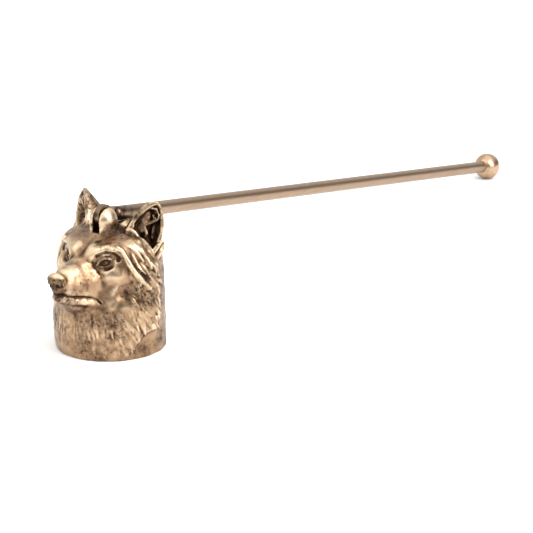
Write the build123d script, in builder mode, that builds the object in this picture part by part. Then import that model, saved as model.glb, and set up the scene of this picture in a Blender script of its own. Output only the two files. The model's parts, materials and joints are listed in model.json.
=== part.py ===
"""Hinged candle snuffer with a cast bell in the shape of a wolf's head.

The bell stands on its rim at z = 0, with the nose towards -Y. A round handle rod is flattened
to an eye at one end, which a pin holds between two domed cheeks on the crown. The rod slopes
down behind the head until the ball on its far end rests on the same surface as the rim.
All sizes are in millimetres.
"""

import os
from math import asin, cos, radians, sin

from build123d import *

# Bell
bell_radius = 15.4
bell_wall = 2.4
crown_height = 33.6
crown_wall = 6.6
rim_bevel = 0.4

# Face
snout_reach = 24.8
nose_width = 5.5
nose_depth = 3.8
nostril_radius = 0.6
nostril_spacing = 2.8
nostril_depth = 0.9
eye_length = 4.6
eye_thickness = 2.6
eye_depth = 1.1  # from the surface of the head in to the middle of the eye
socket_length = 7.6
socket_thickness = 4.2
socket_lead = 1.6  # how far the middle of the socket lies before that of the eye

# Ears
ear_rise = 8.6
ear_turn = 32.0  # degrees outwards from straight ahead

# Ruff
lock_half_width = 2.0
lock_thickness = 2.2

# Hinge
pin_rise = 4.4
pin_offset = 2.4  # from the axis of the bell towards the nose
pin_diameter = 1.8
pin_seat_gap = 0.01
pin_running_gap = 0.05
cheek_radius = 3.95
cheek_drop = 1.45  # from the pin axis down to the centre of the domes
cheek_root_depth = 2.0
slot_width = 2.2
eye_end_gap = 1.2  # from the eye of the rod down to the floor of the slot

# Handle
rod_diameter = 4.0
rod_reach = 220.0  # from the pin axis to the centre of the ball
eye_diameter = 6.0
tongue_thickness = 1.6
tongue_length = 4.4
shoulder_round = 1.4
ball_diameter = 9.0
ball_seat_depth = 6.0
solder_gap = 0.02

overrun = 1.0  # how far every cutter passes the face that it cuts

# Sizes and places worked out from those above
bore_radius = bell_radius - bell_wall
bore_depth = crown_height - crown_wall - bore_radius
ear_tip_height = crown_height + ear_rise
pin_height = crown_height + pin_rise
pin_radius = pin_diameter / 2
cheek_centre = Vector(0, -pin_offset, pin_height - cheek_drop)
slot_floor = pin_height - eye_diameter / 2 - eye_end_gap
rod_radius = rod_diameter / 2
ball_radius = ball_diameter / 2
handle_slope = asin((pin_height - ball_radius) / rod_reach)
rod_direction = Vector(0, cos(handle_slope), -sin(handle_slope))
rod_length = rod_reach - ball_radius + ball_seat_depth
rod_side_plane = Plane(origin=(0, -pin_offset, pin_height), x_dir=rod_direction, z_dir=(1, 0, 0))
rod_axis = Axis(rod_side_plane.origin, rod_direction)
# Outline of the head at rising heights: (height as a share of crown_height, radii as shares of
# bell_radius at equal steps from the nose round to the back)
head_section_shares = [
    (0.00, (1.00, 1.00, 1.00, 1.00, 1.00, 1.00, 1.00)),
    (0.06, (1.00, 1.00, 1.00, 1.00, 1.00, 1.00, 1.00)),
    (0.12, (0.99, 1.00, 1.00, 1.00, 1.00, 1.00, 1.00)),
    (0.28, (0.98, 0.99, 1.00, 1.01, 1.00, 0.99, 0.99)),
    (0.45, (0.94, 0.96, 0.99, 1.00, 0.99, 0.98, 0.98)),
    (0.62, (0.86, 0.88, 0.95, 0.99, 0.98, 0.97, 0.97)),
    (0.77, (0.79, 0.80, 0.87, 0.95, 0.96, 0.93, 0.92)),
    (0.87, (0.80, 0.80, 0.82, 0.87, 0.88, 0.79, 0.73)),
    (0.94, (0.62, 0.70, 0.77, 0.77, 0.65, 0.51, 0.46)),
    (0.975, (0.40, 0.45, 0.52, 0.53, 0.40, 0.31, 0.27)),
    (1.00, (0.24, 0.25, 0.28, 0.27, 0.20, 0.15, 0.13)),
]

# Snout and lower jaw: (reach as a share of snout_reach, centre height as a share of
# crown_height, half width and half height as shares of bell_radius)
snout_section_shares = [
    (0.235, 0.670, 0.617, 0.390),
    (0.42, 0.668, 0.475, 0.370),
    (0.565, 0.667, 0.390, 0.344),
    (0.746, 0.668, 0.292, 0.302),
    (0.887, 0.676, 0.208, 0.253),
    (0.952, 0.679, 0.136, 0.195),
]
jaw_section_shares = [
    (0.30, 0.440, 0.50, 0.270),
    (0.524, 0.479, 0.385, 0.214),
    (0.726, 0.524, 0.286, 0.156),
    (0.859, 0.545, 0.200, 0.130),
    (0.923, 0.554, 0.130, 0.085),
]

# Height of the nose as a share of crown_height
nose_height_share = 0.726

# Place of the left eye, as (degrees round from the nose, height as a share of crown_height), and
# how far the eye climbs towards the ear for each unit round the head
eye_place_shares = (32, 0.81)
eye_climb_share = 0.3

# Left ear and its hollow: (height as a share of ear_tip_height, centre to the side and to the
# back, half width and depth as shares of bell_radius)
ear_section_shares = [
    (0.66, 0.725, 0.00, 0.25, 0.20),
    (0.75, 0.711, 0.07, 0.350, 0.31),
    (0.82, 0.718, 0.12, 0.331, 0.32),
    (0.893, 0.753, 0.18, 0.273, 0.28),
    (0.965, 0.773, 0.245, 0.178, 0.16),
    (1.00, 0.800, 0.305, 0.035, 0.03),
]
ear_hollow_shares = [
    (0.73, 0.84, 0.07, 0.08, 0.08),
    (0.78, 0.786, 0.10, 0.185, 0.20),
    (0.855, 0.763, 0.16, 0.225, 0.22),
    (0.924, 0.790, 0.22, 0.150, 0.15),
    (0.965, 0.810, 0.27, 0.060, 0.06),
]

# Locks of the left ruff: root and tip as (degrees round from the nose, height as a share of
# crown_height), then the width as a share of the widest lock's
ruff_lock_shares = [
    ((46, 0.80), (66, 0.60), 0.85),
    ((60, 0.78), (84, 0.55), 0.95),
    ((64, 0.62), (96, 0.42), 1.00),
    ((62, 0.48), (96, 0.28), 1.00),
    ((52, 0.36), (80, 0.17), 0.95),
    ((34, 0.30), (54, 0.09), 0.85),
    ((84, 0.72), (106, 0.52), 0.90),
    ((94, 0.58), (118, 0.38), 0.85),
]

# Stations of one lock: (distance from the root as a share of its length, size as a share, and how
# far its middle stands off the head as a share of lock_thickness)
lock_station_shares = [
    (0.00, 0.40, -0.30),
    (0.30, 1.00, -0.12),
    (0.65, 0.80, 0.08),
    (1.00, 0.12, 0.28),
]


def head_outline(radius_shares):
    """Closed spline round the head at one height, mirrored about the middle plane.

    Every outline has its knots at the same shares of its length, which keeps the loft light.
    """
    step = radians(180 / (len(radius_shares) - 1))
    near_side = [
        Vector(share * bell_radius * sin(n * step), -share * bell_radius * cos(n * step))
        for n, share in enumerate(radius_shares)
    ]
    points = near_side + [Vector(-p.X, p.Y) for p in near_side[-2:0:-1]]
    knot_shares = [n / len(points) for n in range(len(points) + 1)]
    return Edge.make_spline(points, periodic=True, parameters=knot_shares)


def head_point(turn, height_share):
    """Point of the head's surface, between the outlines below and above it."""
    below, above = next(
        rows
        for rows in zip(head_section_shares, head_section_shares[1:])
        if height_share <= rows[1][0]
    )
    step = 180 / (len(below[1]) - 1)
    index = int(turn // step)
    turn_share = turn / step - index
    rise_share = (height_share - below[0]) / (above[0] - below[0])
    lower_share, upper_share = (
        shares[index] * (1 - turn_share) + shares[index + 1] * turn_share
        for shares in (below[1], above[1])
    )
    radius = bell_radius * (lower_share * (1 - rise_share) + upper_share * rise_share)
    return Vector(
        radius * sin(radians(turn)), -radius * cos(radians(turn)), height_share * crown_height
    )


def outward(point):
    """Level direction from the axis of the bell to a point."""
    return Vector(point.X, point.Y, 0).normalized()


def forward_loft(section_shares):
    """Loft of upright ellipses that follow one another towards the nose."""
    with BuildPart() as piece:
        for reach_share, height_share, width_share, depth_share in section_shares:
            with BuildSketch(Plane.XZ.offset(reach_share * snout_reach)):
                with Locations((0, height_share * crown_height)):
                    Ellipse(width_share * bell_radius, depth_share * bell_radius)
        loft()
    return piece.part


def spindle(centre, direction, length, thickness):
    """Ellipsoid of revolution with its long axis along direction."""
    inward = Vector(-centre.X, -centre.Y, 0)
    plane = Plane(origin=centre, x_dir=direction, z_dir=direction.cross(inward))
    ball = scale(Sphere(1), by=(length / 2, thickness / 2, thickness / 2))
    return plane.location * ball


def ear_plane(height_share, side_share, back_share):
    """Level plane at one height of the left ear, with its Y axis towards the back of the ear."""
    turn = radians(ear_turn)
    origin = (side_share * bell_radius, back_share * bell_radius, height_share * ear_tip_height)
    return Plane(origin=origin, x_dir=(cos(turn), sin(turn), 0), z_dir=(0, 0, 1))


def ruff_lock(root, tip, size_share):
    """Ridged lock of fur that follows the head and lifts off it towards its pointed tip."""
    run = head_point(*tip) - head_point(*root)
    with BuildPart() as piece:
        for along_share, station_share, lift_share in lock_station_shares:
            turn, height_share = (a + (b - a) * along_share for a, b in zip(root, tip))
            surface_point = head_point(turn, height_share)
            origin = surface_point + outward(surface_point) * lift_share * lock_thickness
            across = run.cross(outward(surface_point))
            half_width = lock_half_width * size_share * station_share
            half_depth = lock_thickness / 2 * size_share * station_share
            with BuildSketch(Plane(origin=origin, x_dir=across, z_dir=run)):
                Polygon(
                    (half_width, 0), (0, half_depth), (-half_width, 0), (0, -half_depth), align=None
                )
        loft(ruled=True)
    return piece.part


def both_sides(piece):
    """A piece of the wolf's left side together with its mirror image."""
    return [piece, piece.mirror(Plane.YZ)]


# Skull and neck, lofted through level outlines
with BuildPart() as skull:
    for height_share, radius_shares in head_section_shares:
        with BuildSketch(Plane.XY.offset(height_share * crown_height)):
            with BuildLine():
                add(head_outline(radius_shares))
            make_face()
    loft()

# Left ear: half ellipses with the flat side forward, less a hollow that opens forward
with BuildPart() as ear:
    for height_share, side_share, back_share, width_share, depth_share in ear_section_shares:
        half_width = width_share * bell_radius
        with BuildSketch(ear_plane(height_share, side_share, back_share)):
            with BuildLine():
                EllipticalCenterArc((0, 0), half_width, depth_share * bell_radius, 0, arc_size=180)
                Line((-half_width, 0), (half_width, 0))
            make_face()
    loft()

with BuildPart() as ear_hollow:
    for height_share, side_share, back_share, width_share, depth_share in ear_hollow_shares:
        with BuildSketch(ear_plane(height_share, side_share, back_share)):
            Ellipse(width_share * bell_radius, depth_share * bell_radius)
    loft()

# Boss on the crown, split by the slot into the two domed cheeks of the hinge
with BuildPart() as cheeks:
    with BuildSketch(Plane.XZ.offset(pin_offset)):
        with BuildLine():
            CenterArc((0, cheek_centre.Z), cheek_radius, 0, 90)
            Polyline(
                (0, cheek_centre.Z + cheek_radius),
                (0, crown_height - cheek_root_depth),
                (cheek_radius, crown_height - cheek_root_depth),
                (cheek_radius, cheek_centre.Z),
            )
        make_face()
    revolve(axis=Axis(cheek_centre, (0, 0, 1)))

eye_surface = head_point(*eye_place_shares)
eye_front = outward(eye_surface)
eye_run = Vector(-eye_front.Y, eye_front.X, eye_climb_share)
eye_centre = eye_surface - eye_front * eye_depth
eye = spindle(eye_centre, eye_run, eye_length, eye_thickness)
socket = spindle(
    eye_centre + eye_front * socket_lead, eye_run, socket_length, socket_thickness
)
nose_height = nose_height_share * crown_height
nose_centre = Vector(0, nose_depth / 2 - snout_reach, nose_height)
nose_pad = spindle(nose_centre, Vector(1, 0, 0), nose_width, nose_depth)
face = [forward_loft(snout_section_shares), forward_loft(jaw_section_shares), nose_pad]
ruff = [ruff_lock(*lock_shares) for lock_shares in ruff_lock_shares]

# Cast bell with the wolf's head
with BuildPart() as wolf_head_bell:
    add(skull.part)
    for piece in face:
        add(piece)
    for left_piece in [ear.part, *ruff]:
        for piece in both_sides(left_piece):
            add(piece)
    add(cheeks.part)

    # Hollows of the ears, then the eyes in their sockets and the nostrils
    for left_hollow in [ear_hollow.part, socket]:
        for piece in both_sides(left_hollow):
            add(piece, mode=Mode.SUBTRACT)
    for piece in both_sides(eye):
        add(piece)
    with BuildSketch(Plane.XZ.offset(snout_reach)):
        with Locations((0, nose_height)):
            with GridLocations(nostril_spacing, 0, 2, 1):
                Circle(nostril_radius)
    extrude(amount=nostril_depth, both=True, mode=Mode.SUBTRACT)

    # Cavity: a straight bore under a dome of the same radius
    with BuildSketch(Plane.XZ):
        with BuildLine():
            Polyline(
                (0, bore_depth + bore_radius),
                (0, -overrun),
                (bore_radius, -overrun),
                (bore_radius, bore_depth),
            )
            CenterArc((0, bore_depth), bore_radius, 0, 90)
        make_face()
    revolve(axis=Axis.Z, mode=Mode.SUBTRACT)

    # Bevel round the outside of the rim
    with BuildSketch(Plane.XZ):
        with BuildLine():
            Polyline(
                (bell_radius - rim_bevel - overrun, -overrun),
                (bell_radius + overrun, rim_bevel + overrun),
                (bell_radius + overrun, -overrun),
                close=True,
            )
        make_face()
    revolve(axis=Axis.Z, mode=Mode.SUBTRACT)

    # Slot between the cheeks, and the hole for the pin
    with BuildSketch(Plane.XZ.offset(pin_offset)):
        with Locations((0, slot_floor)):
            Rectangle(slot_width, pin_height, align=(Align.CENTER, Align.MIN))
    extrude(amount=cheek_radius + overrun, both=True, mode=Mode.SUBTRACT)
    with BuildSketch(Plane.YZ):
        with Locations((-pin_offset, pin_height)):
            Circle(pin_radius + pin_seat_gap)
    extrude(amount=cheek_radius + overrun, both=True, mode=Mode.SUBTRACT)

# Pin, with its ends flush with the domes of the cheeks
with BuildPart() as hinge_pin:
    with Locations(cheek_centre):
        Sphere(cheek_radius)
    with BuildSketch(Plane.YZ):
        with Locations((-pin_offset, pin_height)):
            Circle(pin_radius)
    extrude(amount=cheek_radius, both=True, mode=Mode.INTERSECT)

# Rod: round from its domed shoulder to the ball, and flattened to a tongue with a round eye
with BuildPart() as handle_rod:
    with BuildSketch(rod_side_plane):
        with BuildLine():
            CenterArc(
                (tongue_length + shoulder_round, rod_radius - shoulder_round),
                shoulder_round,
                90,
                90,
            )
            Polyline(
                (tongue_length, rod_radius - shoulder_round),
                (tongue_length, 0),
                (rod_length, 0),
                (rod_length, rod_radius),
                (tongue_length + shoulder_round, rod_radius),
            )
        make_face()
    revolve(axis=rod_axis)
    with BuildSketch(rod_side_plane):
        Circle(eye_diameter / 2)
        Rectangle(
            tongue_length + shoulder_round, rod_diameter, align=(Align.MIN, Align.CENTER)
        )
    extrude(amount=tongue_thickness / 2, both=True)
    with BuildSketch(rod_side_plane):
        Circle(pin_radius + pin_running_gap)
    extrude(amount=tongue_thickness, both=True, mode=Mode.SUBTRACT)

# Ball, drilled to take the end of the rod
with BuildPart() as end_ball:
    with Locations(rod_axis.position + rod_direction * rod_reach):
        Sphere(ball_radius)
    with BuildSketch(Plane(origin=rod_axis.position + rod_direction * rod_length, z_dir=rod_direction)):
        Circle(rod_radius + solder_gap)
    extrude(amount=-(ball_seat_depth + overrun), mode=Mode.SUBTRACT)

wolf_head_bell.part.label = "wolf_head_bell"
hinge_pin.part.label = "hinge_pin"
handle_rod.part.label = "handle_rod"
end_ball.part.label = "end_ball"

os.makedirs("parts", exist_ok=True)
for piece in (wolf_head_bell.part, hinge_pin.part, handle_rod.part, end_ball.part):
    export_step(piece, f"parts/{piece.label}.step")
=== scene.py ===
"""Looks of the hinged candle snuffer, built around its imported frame.

The cast wolf's head is sculpted as a signed distance field on an even grid and skinned with
surface nets, both worked out with numpy. Sizes in the sculpting classes are millimetres, in the
row frame: the origin is the centre of the bell's rim, the nose points towards -Y, the handle
runs towards +Y, and +X is the wolf's left. Meshes are handed to Blender in metres.
"""

from __future__ import annotations

import json
import logging
import math
from dataclasses import dataclass, field
from enum import Enum
from typing import Protocol, Sequence

import bpy
import numpy as np
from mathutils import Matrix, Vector

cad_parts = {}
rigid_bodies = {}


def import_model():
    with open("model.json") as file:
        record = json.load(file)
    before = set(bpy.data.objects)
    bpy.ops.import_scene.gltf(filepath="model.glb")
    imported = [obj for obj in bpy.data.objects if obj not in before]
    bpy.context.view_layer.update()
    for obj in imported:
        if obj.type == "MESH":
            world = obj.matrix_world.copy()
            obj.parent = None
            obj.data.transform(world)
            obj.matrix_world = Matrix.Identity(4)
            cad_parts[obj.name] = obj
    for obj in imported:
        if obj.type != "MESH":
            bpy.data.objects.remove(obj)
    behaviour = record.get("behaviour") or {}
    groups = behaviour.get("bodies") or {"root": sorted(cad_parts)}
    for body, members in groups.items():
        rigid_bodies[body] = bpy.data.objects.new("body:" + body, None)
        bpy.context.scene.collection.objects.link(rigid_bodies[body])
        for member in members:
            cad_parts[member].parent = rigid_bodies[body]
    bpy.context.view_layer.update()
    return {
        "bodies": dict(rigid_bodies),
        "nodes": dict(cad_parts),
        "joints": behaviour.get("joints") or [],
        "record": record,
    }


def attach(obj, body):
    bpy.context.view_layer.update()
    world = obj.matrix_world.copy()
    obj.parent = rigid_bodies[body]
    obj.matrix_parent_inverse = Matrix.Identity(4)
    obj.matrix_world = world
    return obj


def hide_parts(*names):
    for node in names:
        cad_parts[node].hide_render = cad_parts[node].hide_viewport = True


log = logging.getLogger("candle_snuffer")

Array = np.ndarray
Point = Sequence[float]

MM = 0.001


class Shape(Protocol):
    """A form that can be added to the clay or cut from it."""

    def box(self) -> tuple[Array, Array]:
        """Lowest and highest corner, in mm."""

    def distance(self, x: Array, y: Array, z: Array) -> Array:
        """Distance from each point to its surface, in mm and negative inside."""


def smooth_min(first: Array, second: Array, blend: float | Array) -> Array:
    """Join two shapes with a fillet: least, less h * h * blend / 4, h = 1 - |difference| / blend."""
    h = np.maximum(blend - np.abs(first - second), 0) / np.maximum(blend, 1e-6)
    return np.minimum(first, second) - h * h * blend / 4


def smooth_max(first: Array, second: Array, blend: float | Array) -> Array:
    """Keep what two shapes share, with a fillet: smooth_min of the negatives, negated."""
    return -smooth_min(-first, -second, blend)


def unit(vector: Point) -> Array:
    """The vector at length one."""
    v = np.asarray(vector, dtype=np.float64)
    return v / np.linalg.norm(v)


def blend_corners(values: Array, cell: Array, share: Array) -> Array:
    """Mix the values at the eight corners of each point's cell; the lattice repeats at its ends.

    Args:
        values: Values on the lattice.
        cell: Lattice numbers of the lowest corner of each point's cell, as rows.
        share: How far each point lies across its cell, from 0 to 1, as rows.

    Returns:
        One value for each point.
    """
    total = np.zeros(len(cell))
    for corner in np.ndindex(2, 2, 2):
        weight = np.prod(np.where(corner, share, 1 - share), axis=1)
        i, j, k = ((cell + corner) % values.shape).T
        total += weight * values[i, j, k]
    return total


@dataclass
class Blob:
    """Ellipsoid with its own axes.

    Attributes:
        centre: Middle point.
        radii: Half sizes along, across and out.
        along: Direction of the first axis.
        out: Rough direction of the third axis.
    """

    centre: Point
    radii: Point
    along: Point = (1, 0, 0)
    out: Point = (0, 0, 1)

    def frame(self) -> Array:
        """Work out the axes: along, across and out, with out squared to along.

        Returns:
            Rows of the three unit axes.
        """
        e1 = unit(self.along)
        e3 = unit(np.asarray(self.out, float) - np.dot(self.out, e1) * e1)
        return np.array([e1, np.cross(e3, e1), e3])

    def box(self) -> tuple[Array, Array]:
        """Lowest and highest corner."""
        reach = np.sqrt(((self.frame() * np.asarray(self.radii)[:, None]) ** 2).sum(0))
        return np.asarray(self.centre) - reach, np.asarray(self.centre) + reach

    def distance(self, x: Array, y: Array, z: Array) -> Array:
        """Near distance k0 (k0 - 1) / k1, where p is the point in the ellipsoid's own axes.

        Here k0 is the length of p / radii, and k1 the length of p / radii squared.

        Args:
            x: X of each point, in mm.
            y: Y of each point, in mm.
            z: Z of each point, in mm.

        Returns:
            One value for each point.
        """
        frame = self.frame()
        px, py, pz = x - self.centre[0], y - self.centre[1], z - self.centre[2]
        k0 = np.float32(1e-9)
        k1 = np.float32(1e-9)
        for axis, radius in zip(frame, self.radii):
            q = px * np.float32(axis[0]) + py * np.float32(axis[1]) + pz * np.float32(axis[2])
            k0 = k0 + (q / radius) ** 2
            k1 = k1 + (q / (radius * radius)) ** 2
        k0 = np.sqrt(k0)
        return k0 * (k0 - 1) / np.sqrt(k1)


@dataclass
class Strand:
    """Round tube through a few points, with a radius at each.

    Attributes:
        points: Points that the tube follows.
        radii: Radius at each point.
    """

    points: Sequence[Point]
    radii: Sequence[float]

    def box(self) -> tuple[Array, Array]:
        """Lowest and highest corner."""
        p = np.asarray(self.points, float)
        return p.min(0) - max(self.radii), p.max(0) + max(self.radii)

    def distance(self, x: Array, y: Array, z: Array) -> Array:
        """Least over the runs of |p - nearest point of the run|, less the radius there.

        Args:
            x: X of each point, in mm.
            y: Y of each point, in mm.
            z: Z of each point, in mm.

        Returns:
            One value for each point.
        """
        best: Array | None = None
        for a, b, ra, rb in zip(self.points, self.points[1:], self.radii, self.radii[1:]):
            run = np.asarray(b, float) - np.asarray(a, float)
            length2 = float(run @ run)
            dx, dy, dz = x - a[0], y - a[1], z - a[2]
            t = np.clip((dx * run[0] + dy * run[1] + dz * run[2]) / length2, 0, 1)
            gap = np.sqrt((dx - t * run[0]) ** 2 + (dy - t * run[1]) ** 2 + (dz - t * run[2]) ** 2)
            d = gap - (ra + (rb - ra) * t)
            best = d if best is None else np.minimum(best, d)
        return best


class Clay:
    """Signed distance field on an even grid, in mm and negative inside the metal."""

    def __init__(self, low: Point, high: Point, step: float) -> None:
        """Set up the grid.

        Args:
            low: Lowest corner.
            high: Highest corner.
            step: Distance between grid points.
        """
        self.low = np.asarray(low, np.float64)
        self.step = step
        self.axes = [np.arange(a, b, step, dtype=np.float32) for a, b in zip(low, high)]
        self.field = np.full([len(a) for a in self.axes], 9.0, np.float32)

    def grid(self) -> tuple[Array, Array, Array]:
        """The whole grid's coordinates, as arrays that broadcast against each other."""
        x, y, z = self.axes
        return x[:, None, None], y[None, :, None], z[None, None, :]

    def _window(self, box: tuple[Array, Array], margin: float) -> tuple[slice, slice, slice]:
        """Find the grid points inside a box.

        Args:
            box: Lowest and highest corner, in mm.
            margin: How far the box is grown on every side, in mm.

        Returns:
            Index range along each axis.
        """
        low = np.floor((box[0] - margin - self.low) / self.step).astype(int)
        high = np.ceil((box[1] + margin - self.low) / self.step).astype(int) + 1
        return tuple(
            slice(max(a, 0), max(min(b, n), 0)) for a, b, n in zip(low, high, self.field.shape)
        )

    def _combine(self, shape: Shape, blend: float, both: bool, sign: float) -> None:
        """Join a shape to the field, or to its negative.

        Args:
            shape: Form to join.
            blend: Width of the fillet between the two, in mm.
            both: Whether its mirror image is joined too.
            sign: 1 to add it, -1 to cut it away.
        """
        for side in (1, -1) if both else (1,):
            low, high = (np.array(corner, float) for corner in shape.box())
            if side < 0:
                low[0], high[0] = -high[0], -low[0]
            window = self._window((low, high), blend + 3 * self.step)
            x, y, z = (
                axis[part].reshape([-1 if n == k else 1 for k in range(3)])
                for n, (axis, part) in enumerate(zip(self.axes, window))
            )
            shape_field = shape.distance(x * side, y, z).astype(np.float32)
            held = self.field[window]
            self.field[window] = sign * smooth_min(sign * held, shape_field, blend)

    def add(self, shape: Shape, blend: float = 0.5, both: bool = True) -> None:
        """Add a shape, on both sides of the middle plane unless told otherwise."""
        self._combine(shape, blend, both, 1.0)

    def cut(self, shape: Shape, blend: float = 0.5, both: bool = True) -> None:
        """Cut a shape away, on both sides of the middle plane unless told otherwise."""
        self._combine(shape, blend, both, -1.0)

    def sample(self, values: Array, points: Array) -> Array:
        """Values at any points, linear between the grid points around each.

        Args:
            values: One value for each grid point.
            points: Points as rows, in mm.

        Returns:
            One value for each row.
        """
        place = (points - self.low) / self.step
        top = np.array(values.shape) - 2
        cell = np.clip(np.floor(place).astype(np.int64), 0, top)
        return blend_corners(values, cell, np.clip(place - cell, 0, 1))

    def slope(self, points: Array) -> Array:
        """Gradient of the field, by central differences one grid step to each side.

        Args:
            points: Points as rows, in mm.

        Returns:
            One gradient for each row.
        """
        columns = []
        for axis in range(3):
            shift = np.zeros(3)
            shift[axis] = self.step
            ahead = self.sample(self.field, points + shift)
            behind = self.sample(self.field, points - shift)
            columns.append((ahead - behind) / (2 * self.step))
        return np.stack(columns, axis=1)

    def skin(self) -> tuple[Array, Array]:
        """Surface nets over the field's zero level.

        Each cell with corners of both signs gets one vertex, at the mean of the points where
        the field is zero along the cell's edges. Each grid edge with ends of unlike sign gets
        one quad, through the vertices of the four cells around it.

        Returns:
            Vertices as rows in mm, and quads as rows of four vertex numbers, facing outwards.
        """
        f = self.field
        inside = f < 0
        nx, ny, nz = (n - 1 for n in f.shape)
        count = np.zeros((nx, ny, nz), np.int8)
        for a, b, c in np.ndindex(2, 2, 2):
            count += inside[a : a + nx, b : b + ny, c : c + nz]
        cells = np.argwhere((count > 0) & (count < 8))
        number = np.full((nx, ny, nz), -1, np.int32)
        number[tuple(cells.T)] = np.arange(len(cells))

        corner_list = list(np.ndindex(2, 2, 2))
        corners = np.stack([f[tuple((cells + c).T)] for c in corner_list], axis=1)
        total = np.zeros((len(cells), 3))
        crossings = np.zeros(len(cells))
        for n, a in enumerate(corner_list):
            for m, b in enumerate(corner_list):
                if m > n and sum(abs(p - q) for p, q in zip(a, b)) == 1:
                    fa, fb = corners[:, n], corners[:, m]
                    crossed = (fa < 0) != (fb < 0)
                    gap = np.where(crossed, fa - fb, 1)
                    t = np.where(crossed, fa / gap, 0)[:, None]
                    total += crossed[:, None] * (np.array(a) + t * (np.array(b) - np.array(a)))
                    crossings += crossed
        vertices = self.low + (cells + total / crossings[:, None]) * self.step

        quads = []
        for axis in range(3):
            u, v = (axis + 1) % 3, (axis + 2) % 3
            head = [slice(None)] * 3
            tail = [slice(None)] * 3
            head[axis], tail[axis] = slice(0, -1), slice(1, None)
            start, end = inside[tuple(head)], inside[tuple(tail)]
            edges = np.argwhere(start != end)
            sizes = np.array([nx, ny, nz])
            keep = (edges[:, u] > 0) & (edges[:, v] > 0)
            keep &= (edges[:, u] < sizes[u]) & (edges[:, v] < sizes[v])
            edges = edges[keep]
            ring = []
            for du, dv in ((-1, -1), (0, -1), (0, 0), (-1, 0)):
                cell = edges.copy()
                cell[:, u] += du
                cell[:, v] += dv
                ring.append(number[tuple(cell.T)])
            ring = np.stack(ring, axis=1)
            outward = start[tuple(edges.T)]
            quads.append(np.where(outward[:, None], ring, ring[:, ::-1]))
        return vertices, np.concatenate(quads)


def lattice_noise(points: Array, size: float | Sequence[float], seed: int) -> Array:
    """Smooth noise from -1 to 1: random values on a lattice, eased between its points.

    Args:
        points: Points as rows, in mm.
        size: Lattice spacing in mm, for each axis or for all.
        seed: Seed of the random values.

    Returns:
        One value for each row.
    """
    count = 32
    values = np.random.default_rng(seed).uniform(-1, 1, (count, count, count))
    place = points / np.asarray(size, float)
    cell = np.floor(place).astype(np.int64)
    share = place - cell
    return blend_corners(values, cell, share * share * (3 - 2 * share))


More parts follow.
